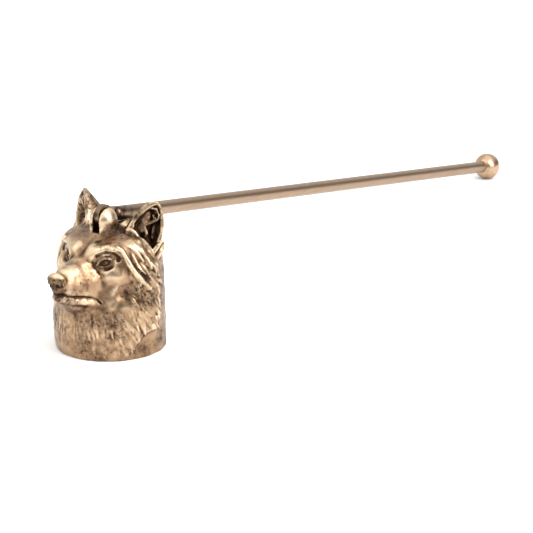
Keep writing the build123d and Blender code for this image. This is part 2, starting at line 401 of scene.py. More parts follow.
@dataclass
class ReliefMap:
    """Radius of the skull and neck over turn and height, the same on both sides.

    The turn is measured from the nose, in degrees, and the height from the rim, in mm.

    Attributes:
        bell_radius: Radius of the rim.
        crown_height: Height of the crown.
        turn_step: Distance between columns, in degrees.
        height_step: Distance between rows, in mm.
        radius: Plain radius at each turn and height.
        lift: How far the fur stands out over it.
    """

    bell_radius: float
    crown_height: float
    turn_step: float = 0.5
    height_step: float = 0.15
    radius: Array = field(init=False)
    lift: Array = field(init=False)

    # Share of the crown's height, and the radius there over the rim's, at turns 30 degrees apart
    SECTION_SHARES = (
        (0.00, (1.00, 1.00, 1.00, 1.00, 1.00, 1.00, 1.00)),
        (0.06, (1.00, 1.00, 1.00, 1.00, 1.00, 1.00, 1.00)),
        (0.12, (0.99, 1.00, 1.00, 1.00, 1.00, 1.00, 1.00)),
        (0.28, (0.98, 0.99, 1.00, 1.01, 1.00, 0.99, 0.99)),
        (0.45, (0.94, 0.96, 0.99, 1.00, 0.99, 0.98, 0.98)),
        (0.62, (0.86, 0.88, 0.95, 0.99, 0.98, 0.97, 0.97)),
        (0.77, (0.79, 0.80, 0.87, 0.95, 0.96, 0.95, 0.95)),
        (0.87, (0.80, 0.80, 0.82, 0.88, 0.92, 0.92, 0.92)),
        (0.94, (0.74, 0.76, 0.80, 0.82, 0.86, 0.88, 0.88)),
        (1.06, (0.62, 0.66, 0.72, 0.76, 0.80, 0.82, 0.82)),
    )

    # Turns, and the height over which the face is smooth at each
    MASK_EDGE = ((0, 24, 45, 60, 74, 80), (15.0, 15.5, 14.5, 16.5, 20.5, 40.0))

    def __post_init__(self) -> None:
        """Work out the plain radius: a cosine series in turn, and a smooth run in height."""
        self.turns = np.arange(0, 180 + self.turn_step, self.turn_step)
        self.heights = np.arange(-1.5, 1.1 * self.crown_height, self.height_step)
        rows = np.array([shares for _, shares in self.SECTION_SHARES])
        levels = np.array([level for level, _ in self.SECTION_SHARES]) * self.crown_height
        order = np.arange(rows.shape[1])
        angles = order * math.pi / (len(order) - 1)
        basis = np.cos(np.outer(angles, order))
        series = np.linalg.solve(basis, rows.T)
        shares = np.cos(np.outer(np.radians(self.turns), order)) @ series
        radius = np.stack([np.interp(self.heights, levels, row) for row in shares])
        kernel = np.hanning(int(5.0 / self.height_step) | 1)
        kernel /= kernel.sum()
        pad = len(kernel) // 2
        padded = np.pad(radius, ((0, 0), (pad, pad)), mode="reflect", reflect_type="odd")
        radius = np.stack([np.convolve(row, kernel, mode="valid") for row in padded])
        self.radius = radius * self.bell_radius
        self.lift = np.zeros_like(self.radius)

    def arc(self) -> Array:
        """Distance round the neck from the nose line, one value for each column, in mm."""
        return np.radians(self.turns) * self.bell_radius

    def raise_region(self, outline: Sequence[tuple[float, float]], height: float) -> None:
        """Lift the part of the map inside an outline, with a short slope at its edge.

        Args:
            outline: Corners as (turn in degrees, height in mm), in order.
            height: Lift inside, in mm.
        """
        arc = self.arc()[:, None]
        z = self.heights[None, :]
        inside = np.zeros(self.lift.shape, bool)
        gap = np.full(self.lift.shape, 9.0)
        corners = [(math.radians(turn) * self.bell_radius, level) for turn, level in outline]
        for (a0, z0), (a1, z1) in zip(corners, corners[1:] + corners[:1]):
            crosses = (z0 > z) != (z1 > z)
            reach = a0 + (z - z0) * (a1 - a0) / ((z1 - z0) or 1e-9)
            inside ^= crosses & (arc < reach)
            length2 = (a1 - a0) ** 2 + (z1 - z0) ** 2
            t = np.clip(((arc - a0) * (a1 - a0) + (z - z0) * (z1 - z0)) / length2, 0, 1)
            gap = np.minimum(gap, np.hypot(arc - a0 - t * (a1 - a0), z - z0 - t * (z1 - z0)))
        signed = np.where(inside, gap, -gap)
        self.lift = np.maximum(self.lift, height * np.clip(signed / 0.5 + 0.5, 0, 1))

    def lock(
        self,
        root: tuple[float, float],
        tip: tuple[float, float],
        width: float,
        height: float,
        curl: float = 0.0,
        floor: float = 0.0,
    ) -> None:
        """Lay one lock of fur on the map, over what is there.

        Along the lock, t runs from 0 at the root to 1 at the tip. Across it, s is the distance
        from its bent middle line over its half width there. The lock stands floor + height
        (0.3 + 0.7 t) sqrt(1 - s squared) proud, so its sides and its tip drop off steeply.

        Args:
            root: Turn in degrees and height in mm where it starts.
            tip: Turn in degrees and height in mm where it ends.
            width: Greatest width, in mm.
            height: Lift at its tip, in mm.
            curl: How far its middle bends to one side, in mm.
            floor: Lift that it stands on, in mm.
        """
        start = np.array([math.radians(root[0]) * self.bell_radius, root[1]])
        end = np.array([math.radians(tip[0]) * self.bell_radius, tip[1]])
        length = float(np.linalg.norm(end - start))
        along = (end - start) / length
        da = self.arc()[:, None] - start[0]
        dz = self.heights[None, :] - start[1]
        t = (da * along[0] + dz * along[1]) / length
        bend = curl * 4 * t * (1 - t)
        across = dz * along[0] - da * along[1] - bend
        shape = np.sqrt(np.clip(t / 0.22, 0, 1)) * np.clip(1 - t, 0, 1) ** 0.6
        s = across / np.maximum(width / 2 * shape, 1e-3)
        mask = (t > 0) & (t < 1) & (np.abs(s) < 1)
        bulge = floor + height * (0.3 + 0.7 * t) * np.sqrt(np.clip(1 - s * s, 0, 1))
        self.lift = np.where(mask, np.maximum(self.lift, bulge), self.lift)

    def comb(self, height: float, seed: int) -> None:
        """Fine hair on what is raised: ridged noise drawn out along the lie of the fur.

        The lie leans from the vertical towards the back, by 6 degrees at the throat and 38 at
        the side of the neck.

        Args:
            height: Depth of the partings, in mm.
            seed: Seed of the noise.
        """
        arc, z = np.meshgrid(self.arc(), self.heights, indexing="ij")
        lean = np.radians(np.interp(self.turns, (0, 35, 95), (6, 14, 38)))[:, None]
        across = arc * np.cos(lean) + z * np.sin(lean)
        along = z * np.cos(lean) - arc * np.sin(lean)
        hair = np.zeros(arc.shape)
        for n, (size, share) in enumerate((((1.9, 4.2, 1), 0.6), ((0.9, 2.2, 1), 0.4))):
            points = np.stack([across.ravel(), along.ravel(), 0 * z.ravel()], axis=1)
            waves = lattice_noise(points, size, seed + n).reshape(arc.shape)
            hair += share * (1 - 2 * np.abs(waves))
        mask_edge = np.interp(self.turns, *self.MASK_EDGE)[:, None]
        hair *= np.clip((mask_edge - z) / 3.0, 0.15, 1)
        self.lift += height * hair * np.clip(self.lift / 0.4, 0, 1)

    def tufts(
        self,
        count: int,
        turns: tuple[float, float],
        levels: tuple[float, float],
        height: float,
        seed: int,
    ) -> None:
        """Scatter small locks over a part of the ruff, each on top of what it starts on.

        Args:
            count: Number of locks.
            turns: Least and greatest turn of their roots, in degrees.
            levels: Least and greatest height of their roots, in mm.
            height: Mean lift, in mm.
            seed: Seed of the scatter.
        """
        chance = np.random.default_rng(seed)
        for turn, level, slant, length, width, share, curl in chance.uniform(
            (turns[0], levels[0], -12, 2.2, 0.8, 0.6, -0.4),
            (turns[1], levels[1], 14, 4.2, 1.5, 1.4, 0.4),
            (count, 7),
        ):
            lean = math.radians(float(np.interp(turn, (0, 35, 95), (4, 14, 42))) + slant)
            aside = math.degrees(length * math.sin(lean) / self.bell_radius)
            column = min(int(turn / self.turn_step), len(self.turns) - 1)
            row = int((level - self.heights[0]) / self.height_step)
            row = min(max(row, 0), len(self.heights) - 1)
            under = float(self.lift[column, row])
            tip = (turn + aside, level - length * math.cos(lean))
            self.lock((turn, level), tip, width, share * height, curl, 0.9 * under)

    def at(self, values: Array, x: Array, y: Array, z: Array) -> Array:
        """Values of a map over a block of space, linear in turn and in height.

        Args:
            values: One of the maps.
            x: X of the block, one value for each point along it.
            y: Y likewise.
            z: Z likewise.

        Returns:
            A block of values.
        """
        turn = np.degrees(np.arctan2(np.abs(x[:, None]), -y[None, :])) / self.turn_step
        first = np.clip(np.floor(turn).astype(int), 0, len(self.turns) - 2)
        share = (turn - first)[:, :, None].astype(np.float32)
        rows = np.stack([np.interp(z, self.heights, row) for row in values]).astype(np.float32)
        return rows[first] * (1 - share) + rows[first + 1] * share

    def point(self, turn: float, height: float, off: float = 0.0) -> Array:
        """Find a point on the surface, or off it.

        Args:
            turn: Turn from the nose, in degrees.
            height: Height over the rim, in mm.
            off: How far it lies outside the surface, in mm.

        Returns:
            The point, in mm.
        """
        column = min(int(round(abs(turn) / self.turn_step)), len(self.turns) - 1)
        row = min(int(round((height - self.heights[0]) / self.height_step)), len(self.heights) - 1)
        radius = self.radius[column, row] + self.lift[column, row] + off
        angle = math.radians(turn)
        return np.array([radius * math.sin(angle), -radius * math.cos(angle), height])


def smooth_run(stations: Sequence[float], values: Sequence[float], at: Array) -> Array:
    """Values between a few stations, with the corners of the broken line rounded off.

    Args:
        stations: Rising places, in mm.
        values: One value for each station.
        at: Places to find values for.

    Returns:
        One value for each place.
    """
    step = 0.1
    places = np.arange(stations[0] - 4, stations[-1] + 4, step)
    line = np.interp(places, stations, values)
    kernel = np.hanning(int(3.0 / step) | 1)
    line = np.convolve(line, kernel / kernel.sum(), mode="same")
    return np.interp(at, places, line)


@dataclass
class Muzzle:
    """Upright arched sections that follow one another towards the nose, cut off by a sloping face.

    Attributes:
        stations: Reach of each section ahead of the bell's axis.
        top: Height of the top of each section.
        middle: Height at which each section is widest.
        half_width: Half width of each section.
        floor: Height of the level cut under each section.
        end: Reach of the front face at its upper end.
        end_height: Height of the front face's upper end.
        lean: How far the front face draws back for each mm down.
        square: Exponent of the section, 2 for an ellipse and more for a squarer one.
        front_round: Rounding of the front face's edge.
    """

    stations: Sequence[float]
    top: Sequence[float]
    middle: Sequence[float]
    half_width: Sequence[float]
    floor: Sequence[float]
    end: float
    end_height: float
    lean: float
    square: float
    front_round: float

    def box(self) -> tuple[Array, Array]:
        """Bound the sections, with a little room.

        Returns:
            Lowest and highest corner, in mm.
        """
        wide = max(self.half_width) + 0.5
        low = np.array([-wide, -self.end - 1, min(self.floor) - 0.5])
        return low, np.array([wide, -self.stations[0], max(self.top) + 0.5])

    def distance(self, x: Array, y: Array, z: Array) -> Array:
        """Distance to the sections, cut by the floor and the front face.

        The section's is ((|u|^n + |v|^n)^(1/n) - 1) times the smaller half size, where u is the
        place over the half width, and v the height over the middle over the half height.

        Args:
            x: X of each point, in mm.
            y: Y of each point, in mm.
            z: Z of each point, in mm.

        Returns:
            One value for each point.
        """
        reach = -y
        top, middle, wide, floor = (
            smooth_run(self.stations, row, reach)
            for row in (self.top, self.middle, self.half_width, self.floor)
        )
        half = top - middle
        u, v = np.abs(x / wide), np.abs((z - middle) / half)
        section = (u**self.square + v**self.square) ** (1 / self.square) - 1
        section = section * np.minimum(wide, half)
        section = smooth_max(section, floor - z, 0.6)
        front = reach - self.end + self.lean * np.abs(self.end_height - z)
        front = front / math.hypot(1, self.lean)
        back = y + self.stations[0]
        return np.maximum(smooth_max(section, front, self.front_round), back)


@dataclass
class EarShell:
    """Tapering half-round sections with the flat side forward, or the hollow in them.

    Attributes:
        base: Point that the sizes are measured from.
        out: Direction in which the ear opens.
        up: Rough direction of its tip.
        levels: Rising distances along up.
        inner: Edge towards the crown at each level.
        outer: Edge away from the crown at each level.
        depth: How far the back bulges at each level.
        front: Distance of the flat side ahead of the base point, at each level.
    """

    base: Point
    out: Point
    up: Point
    levels: Sequence[float]
    inner: Sequence[float]
    outer: Sequence[float]
    depth: Sequence[float]
    front: Sequence[float]

    def frame(self) -> tuple[Array, Array, Array]:
        """Square up to out, and find across from the two.

        Returns:
            Unit directions across, up and out.
        """
        out = unit(self.out)
        up = unit(np.asarray(self.up, float) - np.dot(self.up, out) * out)
        return np.cross(up, out), up, out

    def place(self, across: float, rise: float, ahead: float) -> Array:
        """Point at some mm across, up and out from the base point."""
        e1, e2, e3 = self.frame()
        return np.asarray(self.base, float) + across * e1 + rise * e2 + ahead * e3

    def box(self) -> tuple[Array, Array]:
        """Bound the ear by its greatest sizes, with a little room.

        Returns:
            Lowest and highest corner, in mm.
        """
        corners = [
            self.place(a, h, f)
            for h in (self.levels[0], self.levels[-1])
            for a in (min(self.inner), max(self.outer))
            for f in (-max(self.depth) - 2, max(self.front) + 1)
        ]
        return np.min(corners, axis=0) - 1, np.max(corners, axis=0) + 1

    def distance(self, x: Array, y: Array, z: Array) -> Array:
        """Distance to a half ellipse whose sizes run with the rise, cut flat in front.

        The round side's is (sqrt(u^2 + v^2) - 1) times the smaller half size, where u is the
        place across over the half width, and v the place ahead over the depth.

        Args:
            x: X of each point, in mm.
            y: Y of each point, in mm.
            z: Z of each point, in mm.

        Returns:
            One value for each point.
        """
        e1, e2, e3 = (axis.astype(np.float32) for axis in self.frame())
        px, py, pz = x - self.base[0], y - self.base[1], z - self.base[2]
        across = px * e1[0] + py * e1[1] + pz * e1[2]
        rise = px * e2[0] + py * e2[1] + pz * e2[2]
        ahead = px * e3[0] + py * e3[1] + pz * e3[2]
        inner, outer, depth, front = (
            np.interp(rise, self.levels, row)
            for row in (self.inner, self.outer, self.depth, self.front)
        )
        half = np.maximum((outer - inner) / 2, 0.05)
        depth = np.maximum(depth, 0.05)
        u = (across - (inner + outer) / 2) / half
        v = (ahead - front) / depth
        round_side = (np.sqrt(u * u + v * v) - 1) * np.minimum(half, depth)
        flat_side = ahead - front
        body = smooth_max(round_side, flat_side, 0.5)
        body = smooth_max(body, rise - self.levels[-1], 0.4)
        return np.maximum(body, self.levels[0] - rise)


@dataclass
class WolfHeadBell:
    """The casting: the wolf's head, the hollow bell under it and the cheeks of the hinge, in mm.

    Attributes:
        body: CAD body that it rides on.
        bell_radius: Outer radius of the rim.
        bore_radius: Radius of the cavity.
        bore_depth: Height of the cavity's straight part.
        crown_height: Height of the crown.
        pin_height: Height of the hinge pin.
        pin_offset: Distance of the pin ahead of the bell's axis.
        cheek_radius: Radius of the two domed cheeks.
        cheek_drop: Distance from the pin down to the middle of the domes.
        slot_width: Gap between the cheeks.
        slot_floor: Height of the bottom of that gap.
        snout_reach: Distance of the nose ahead of the bell's axis.
        mane_radius: Greatest distance of the locks from the middle plane.
        grid_low: Lowest corner of the sculpting grid.
        grid_high: Highest corner of the sculpting grid.
        grid_step: Distance between the points of the sculpting grid.
        quick_share: How much coarser the grid would be in a quick build; not used.
        most_triangles: Most triangles that the finished skin may have.
    """

    body: str = "bell"
    bell_radius: float = 15.4
    bore_radius: float = 13.0
    bore_depth: float = 14.0
    crown_height: float = 33.6
    pin_height: float = 38.0
    pin_offset: float = 2.4
    cheek_radius: float = 3.95
    cheek_drop: float = 1.45
    slot_width: float = 2.2
    slot_floor: float = 33.8
    snout_reach: float = 24.8
    mane_radius: float = 16.2
    grid_low: Point = (-17.4, -28.0, -1.0)
    grid_high: Point = (17.4, 17.0, 44.0)
    grid_step: float = 0.25
    quick_share: float = 1.8
    most_triangles: int = 190_000

    # Path of the lower lip, from the middle to the corner of the mouth
    LIP = (
        (0, -22.1, 19.2), (1.5, -21.5, 19.1), (3.0, -19.3, 18.3),
        (3.8, -17.0, 17.8), (4.7, -14.7, 17.3), (5.5, -12.9, 16.3),
    )

    # Folds and tufts of an ear, as (across, up, out) from its base point, and their radii
    EAR_FOLDS = (
        (((0.4, 7.3, -1.9), (1.6, 6.2, -1.9), (0.3, 5.0, -2.1), (-0.8, 4.0, -1.9), (-0.8, 3.3, -1.7),
          (-0.1, 2.6, -1.5), (0.3, 1.9, -1.3), (0.2, 0.8, -1.2)),
         (0.35, 0.55, 0.4, 0.35, 0.35, 0.5, 0.55, 0.35)),
        (((-1.4, 8.6, -1.4), (-0.5, 9.1, -1.5), (0.8, 9.3, -1.5), (1.9, 8.0, -1.3),
          (2.1, 6.2, -1.6)),
         (0.25, 0.3, 0.35, 0.35, 0.25)),
        (((1.4, 4.4, -3.3), (1.6, 2.9, -3.2), (1.9, 0.9, -2.8)), (0.3, 0.4, 0.3)),
        (((1.0, -0.2, -0.8), (1.8, -1.4, -0.4), (2.6, -2.4, 0.3)), (0.35, 0.4, 0.3)),
        (((-1.6, -0.6, 1.3), (-0.4, -1.1, 1.4), (-0.3, -3.2, 1.8), (1.4, -4.1, 1.6),
          (3.1, -5.6, 1.2)),
         (0.6, 0.75, 0.85, 0.7, 0.3)),
        (((-3.4, -1.6, 1.4), (-2.0, -2.4, 2.0), (-1.2, -4.0, 2.3), (0.4, -6.0, 2.4)),
         (0.7, 0.85, 0.8, 0.3)),
        (((5.0, 1.6, 0.0), (4.3, 0.2, 0.6), (3.6, -2.1, 1.0), (3.1, -4.0, 1.3)),
         (0.4, 0.6, 0.65, 0.3)),
        (((4.9, 0.6, -0.9), (4.9, -1.2, -0.4), (4.7, -3.0, 0.2)), (0.8, 0.9, 0.7)),
        (((5.3, 0.8, -1.2), (5.5, -0.6, -0.6), (5.3, -2.2, 0.0), (5.0, -4.2, 0.4)),
         (0.5, 0.6, 0.6, 0.3)),
    )

    # Lobe at the foot of the left ear, towards the crown
    EAR_LOBE = (
        (((-5.0, 1.5, 0.2), (-4.0, 1.9, 0.5), (-3.0, 1.6, 0.7), (-1.6, 0.7, 0.7)),
         (0.5, 0.6, 0.6, 0.5)),
        (((-4.6, 0.6, 0.3), (-3.2, 0.6, 0.6), (-2.0, 0.2, 0.6)), (0.8, 0.9, 0.7)),
        (((-4.4, -0.4, 0.6), (-3.0, -0.4, 1.2), (-1.8, 0.0, 1.2)), (0.7, 0.8, 0.65)),
    )

    # Outline of the ruff as (turn, height)
    MANE = (
        (0, -2), (50, -2), (57, 1.8), (62, 3.2), (68, 5.1), (73, 6.8), (80, 7.2), (90, 7.5),
        (94, 9.1), (96, 13.7), (97, 19), (96, 24), (99, 29), (97, 36), (0, 36),
    )

    # Locks of the ruff: root and tip as (turn, height), width, lift at the tip, and bend of the
    # middle line
    LOCKS = (
        ((60, 32.6), (72, 29.6), 2.0, 0.5, 0.3),
        ((65, 32.2), (79, 27.0), 2.3, 0.8, 0.4),
        ((72, 32.5), (84, 28.2), 2.0, 0.6, -0.3),
        ((75, 31.7), (87, 25.0), 2.4, 0.9, 0.5),
        ((81, 30.0), (94, 22.7), 2.4, 0.9, 0.4),
        ((66, 29.4), (79, 23.6), 2.2, 0.8, -0.3),
        ((73, 27.0), (87, 21.0), 2.2, 0.8, 0.4),
        ((80, 25.6), (95, 19.4), 2.3, 0.9, -0.4),
        ((88, 28.0), (99, 21.0), 2.0, 0.6, 0.3),
        ((79, 21.4), (98, 16.8), 2.5, 1.0, 0.8),
        ((74, 20.6), (90, 17.6), 1.9, 0.6, 0.4),
        ((84, 19.4), (98, 13.6), 2.1, 0.8, 0.5),
        ((76, 17.4), (94, 13.6), 2.3, 0.8, 0.9),
        ((80, 15.0), (97, 10.0), 2.2, 0.9, 0.7),
        ((74, 14.9), (92, 9.6), 2.1, 0.8, 0.6),
        ((66, 14.0), (84, 9.0), 2.2, 0.8, 0.5),
        ((66, 12.0), (75, 6.4), 2.4, 1.0, 0.3),
        ((72, 11.4), (86, 7.2), 1.9, 0.7, 0.4),
        ((60, 9.6), (68, 4.6), 2.0, 0.6, 0.3),
        ((54, 7.4), (60, 2.2), 2.0, 0.5, 0.2),
        ((44, 6.4), (47, 1.4), 1.8, 0.4, 0.1),
        ((30, 6.0), (32, 1.0), 1.8, 0.35, 0.0),
        ((16, 5.6), (17, 0.8), 1.8, 0.3, 0.0),
    )

    # Spots of painted shade and patina, and of painted highlight where the share is negative:
    # centre, reach and share
    PAINTED_LIGHT_AND_PATINA_SPOTS = (
        ((12.0, -7.6, 20.4), 3.0, 0.6),
        ((14.2, -4.6, 17.0), 5.0, 0.9),
        ((0.0, -14.8, 14.6), 5.0, 0.6),
        ((2.5, -20.4, 18.6), 4.0, 0.5),
        # Painted highlights on the forehead, the top of the snout, the cheek under the eye and the
        # crown
        ((2.0, -8.6, 32.4), 5.5, -0.6),
        ((2.5, -17.0, 25.0), 6.0, -0.6),
        ((10.5, -9.3, 24.2), 3.0, -0.7),
        ((4.5, -6.6, 33.4), 4.0, -0.8),
        # Painted shade on the ridge between the rod and each ear
        ((5.0, 4.2, 36.0), 3.4, 1.0),
        ((6.3, -10.8, 27.5), 2.3, 0.9),
        ((9.4, -8.9, 29.0), 2.2, 0.7),
        ((14.0, -3.0, 22.5), 3.5, 0.5),
        ((9.8, -11.2, 9.6), 4.5, 0.4),
        ((3.6, -2.4, 34.6), 2.6, 0.6),
    )

    # Unevenness of the cast skin: depth, spacing and seed of each noise
    CAST_SKIN = ((0.10, 2.6, 31), (0.08, 1.3, 32))

    def relief(self) -> ReliefMap:
        """Lay the fur: fine hair over the ruff, heavy locks behind the mask, and small locks.

        The lift fades towards the rim. Near the mane radius it levels off as room * tanh(lift /
        room), where room is what is left to that radius.

        Returns:
            The map of the neck and skull.
        """
        relief = ReliefMap(self.bell_radius, self.crown_height)
        relief.raise_region(self.MANE, 0.45)
        relief.comb(0.13, 5)
        for root, tip, width, height, curl in self.LOCKS:
            relief.lock(root, tip, width, height, curl, 0.4)
        relief.tufts(110, (2, 62), (3.5, 14.5), 0.20, 11)
        relief.tufts(90, (58, 92), (8.5, 28.0), 0.40, 12)
        relief.comb(0.10, 9)
        relief.lift *= np.interp(relief.heights, (0.0, 9.0), (0.25, 1.0))[None, :]
        widest = self.mane_radius / np.maximum(np.sin(np.radians(relief.turns)), 0.9)[:, None]
        room = np.maximum(widest - relief.radius, 0.1)
        relief.lift = room * np.tanh(relief.lift / room)
        return relief

    def skull(self, clay: Clay, relief: ReliefMap) -> None:
        """Fill the skull and neck: within the relief's radius and under the dome of the crown.

        The dome's height is the crown's and a little more behind, less a share of the squares of
        the way from the middle to the side, to the front and to the back.

        Args:
            clay: Clay to work in.
            relief: Map of the neck and skull.
        """
        x, y, z = clay.axes
        radius = relief.at(relief.radius + relief.lift, x, y, z)
        slope = relief.at(np.gradient(relief.radius, relief.height_step, axis=1), x, y, z)
        side = np.hypot(x[:, None], y[None, :])[:, :, None] - radius
        side = side / np.sqrt(1 + slope * slope)
        gx, gy, gz = clay.grid()
        back = np.maximum(gy - 4.5, 0)
        front = np.maximum(-1.0 - gy, 0)
        rise = 0.5 + 0.5 * np.clip((gy + 1.0) / 4.0, 0, 1)
        crown = self.crown_height + rise - 0.010 * gx * gx - 0.034 * front**2 - 0.030 * back**2
        tilt = np.sqrt(1 + (0.024 * gx) ** 2 + (0.068 * front) ** 2 + (0.060 * back) ** 2)
        blend = np.interp(gy, (-10.0, 3.0), (1.6, 3.2))
        clay.field = smooth_max(side, (gz - crown) / tilt, blend).astype(np.float32)

    def muzzle(self, clay: Clay) -> None:
        """Snout with flat sides and a step behind them, and lower jaw.

        Args:
            clay: Clay to work in.
        """
        jaw = Muzzle(
            stations=(8.0, 12.0, 15.0, 18.0, 20.5, 22.5),
            top=(17.0, 18.2, 19.0, 19.4, 19.8, 20.0),
            middle=(13.2, 14.8, 16.0, 17.1, 18.0, 18.6),
            half_width=(7.0, 5.6, 4.6, 3.5, 2.7, 2.1),
            floor=(4.0, 6.0, 8.0, 10.0, 12.0, 13.0),
            end=22.6,
            end_height=20.0,
            lean=0.5,
            square=2.3,
            front_round=2.2,
        )
        snout = Muzzle(
            stations=(12.5, 15.0, 17.0, 19.0, 21.2, 24.0),
            top=(28.5, 27.9, 27.6, 27.3, 27.0, 26.6),
            middle=(20.8, 20.4, 20.2, 20.2, 20.6, 21.4),
            half_width=(6.7, 5.7, 4.95, 4.15, 3.3, 2.5),
            floor=(17.0, 18.4, 19.0, 19.5, 19.9, 20.2),
            end=self.snout_reach - 1.0,
            end_height=24.6,
            lean=0.42,
            square=1.9,
            front_round=1.8,
        )
        bridge = Blob((0, -12.6, 25.8), (2.9, 2.6, 2.7), (1, 0, 0), (0, -0.2, 1))
        clay.add(jaw, 2.2, both=False)
        clay.add(snout, 1.2, both=False)
        clay.add(bridge, 1.6, both=False)

    def mouth(self, clay: Clay) -> None:
        """Lower lip, and the line of the mouth over it.

        Args:
            clay: Clay to work in.
        """
        clay.add(Strand(self.LIP, (1.1, 1.1, 1.15, 1.25, 1.25, 1.1)), 0.6)
        line = (
            (0, -23.0, 20.3), (2.3, -22.5, 20.05), (3.3, -21.3, 19.85), (4.1, -19.2, 19.5),
            (4.9, -17.1, 19.15), (5.7, -15.1, 18.6), (6.4, -13.7, 17.6), (6.9, -12.6, 16.4),
        )
        clay.cut(Strand(line, (0.36, 0.36, 0.34, 0.30, 0.28, 0.28, 0.3, 0.25)), 0.45)

    @staticmethod
    def nose(clay: Clay) -> None:
        """Nose pad with its wings, nostrils and the groove between them.

        Args:
            clay: Clay to work in.
        """
        pad = (
            (Blob((0, -22.9, 24.7), (2.75, 1.75, 1.85), (1, 0, 0), (0, -0.25, 1)), 0.4),
            (Blob((0, -22.5, 22.9), (2.2, 1.7, 2.5), (1, 0, 0), (0, -0.35, 1)), 0.5),
            (Blob((1.8, -22.9, 23.5), (1.1, 1.3, 1.2), (1, 0, 0), (0, -0.3, 1)), 0.3),
        )
        for lobe, blend in pad:
            clay.add(lobe, blend)
        nostril = Blob((1.35, -24.5, 23.3), (0.7, 1.1, 0.65), (1, 0.2, 0), (0, 0, 1))
        wing = ((1.7, -24.1, 23.2), (2.5, -23.5, 22.8), (3.0, -22.4, 23.2))
        groove = ((0, -24.9, 23.6), (0, -24.3, 22.2), (0, -23.6, 20.6))
        for hollow in (nostril, Strand(wing, (0.32, 0.34, 0.25)), Strand(groove, (0.3, 0.3, 0.25))):
            clay.cut(hollow, 0.25)

    def lip_hair(self, clay: Clay) -> None:
        """Nine short hairs over each side of the lower lip, spread along its path.

        Args:
            clay: Clay to work in.
        """
        ends = range(len(self.LIP))
        for share in np.linspace(0.2, 0.95, 9):
            middle = np.array([np.interp(share * ends[-1], ends, row) for row in zip(*self.LIP)])
            out = unit((0.25 + 0.6 * share, -1.0 + 0.5 * share, 0.0))
            hair = [
                middle + 0.85 * out + (0, 0, 0.85),
                middle + 1.12 * out + (0, 0.2, 0.1),
                middle + 1.0 * out + (0, 0.6, -0.8),
            ]
            clay.add(Strand(hair, (0.18, 0.3, 0.15)), 0.12)

    @staticmethod
    def brows(clay: Clay) -> None:
        """Bulges of the brows, the furrow between them and the valley over each eye.

        Args:
            clay: Clay to work in.
        """
        for bulge in (
            Blob((2.9, -10.4, 29.9), (2.7, 2.3, 1.7), (0.9, 0.2, 0.1), (0.15, -0.5, 0.85)),
            Blob((6.4, -8.9, 29.9), (2.2, 1.4, 1.6), (0.75, 0.6, 0.05), (0.3, -0.5, 0.8)),
        ):
            clay.add(bulge, 1.8)
        furrow = [(0, -9.0, 32.9), (0, -11.0, 31.8), (0, -13.2, 29.9)]
        clay.cut(Strand(furrow, (0.35, 0.4, 0.35)), 2.2, both=False)
        valley = [
            (4.5, -12.6, 27.7), (5.6, -12.1, 29.0), (7.3, -10.8, 29.8), (8.7, -9.5, 29.4),
            (9.6, -8.5, 28.5),
        ]
        clay.cut(Strand(valley, (0.5, 1.2, 1.3, 1.1, 0.8)), 0.7)

    @staticmethod
    def eyes(clay: Clay) -> None:
        """Socket, eyeball with its pupil, two lids, the fold over them and the tear bump.

        The lids and the fold are paths as (along, up, out) from the middle of the eye.

        Args:
            clay: Clay to work in.
        """
        along = unit((0.80, 0.56, 0.16))
        out = unit((0.56, -0.81, 0.08))
        axes = np.array([along, np.cross(along, -out), out])
        centre = np.array([6.4, -10.1, 27.3])
        clay.cut(Blob(centre + 1.1 * out, (3.1, 1.9, 1.35), along, out), 0.6)
        clay.add(Blob(centre - 1.2 * out, (1.95, 2.1, 1.2), along, out), 0.1)
        clay.cut(Blob(centre + 1.0 * out - 0.2 * along, (0.3, 0.35, 0.3), along, out), 0.1)
        lid_radii = (0.2, 0.27, 0.3, 0.27, 0.2)
        for path, radii, blend in (
            (((-2.5, -0.6, 0.0), (-1.3, 0.7, 0.3), (0.2, 1.25, 0.35), (1.6, 0.9, 0.15),
              (2.6, 0.1, -0.2)), lid_radii, 0.15),
            (((-2.5, -0.6, 0.0), (-1.2, -1.1, 0.0), (0.4, -1.3, 0.0), (1.7, -0.85, -0.1),
              (2.6, 0.1, -0.2)), lid_radii, 0.15),
            (((-1.6, 1.5, -0.1), (0.2, 2.35, 0.05), (1.9, 2.1, -0.1), (3.1, 0.9, -0.2)),
             (0.3, 0.45, 0.45, 0.3), 0.4),
        ):
            clay.add(Strand([centre + np.array(place) @ axes for place in path], radii), blend)
        clay.add(Blob((4.6, -11.15, 25.7), (0.55, 0.5, 0.45), along, out), 0.3)

    @staticmethod
    def cheeks(clay: Clay, relief: ReliefMap) -> None:
        """Cheek bulges and hollows, and the ridge that parts the mask from the ruff.

        Args:
            clay: Clay to work in.
            relief: Map of the neck and skull.
        """
        clay.add(Blob((8.6, -9.3, 24.2), (2.4, 1.5, 1.4), (0.7, 0.7, -0.2), (0.6, -0.8, 0.2)), 2.0)
        hollow = relief.point(56, 20.6, 1.7)
        clay.cut(Blob(hollow, (3.9, 2.5, 2.4), (0.45, 0.35, 0.8), (0.85, -0.5, 0)), 2.2)
        line = ((49, 31.6), (55, 30.6), (59, 28.4), (61.5, 27.0), (68, 24.4), (75, 21.7), (82, 19.8))
        ridge = [relief.point(turn, level, -0.1) for turn, level in line]
        clay.add(Strand(ridge, (0.5, 0.6, 0.65, 0.75, 0.8, 0.7, 0.5)), 0.5)

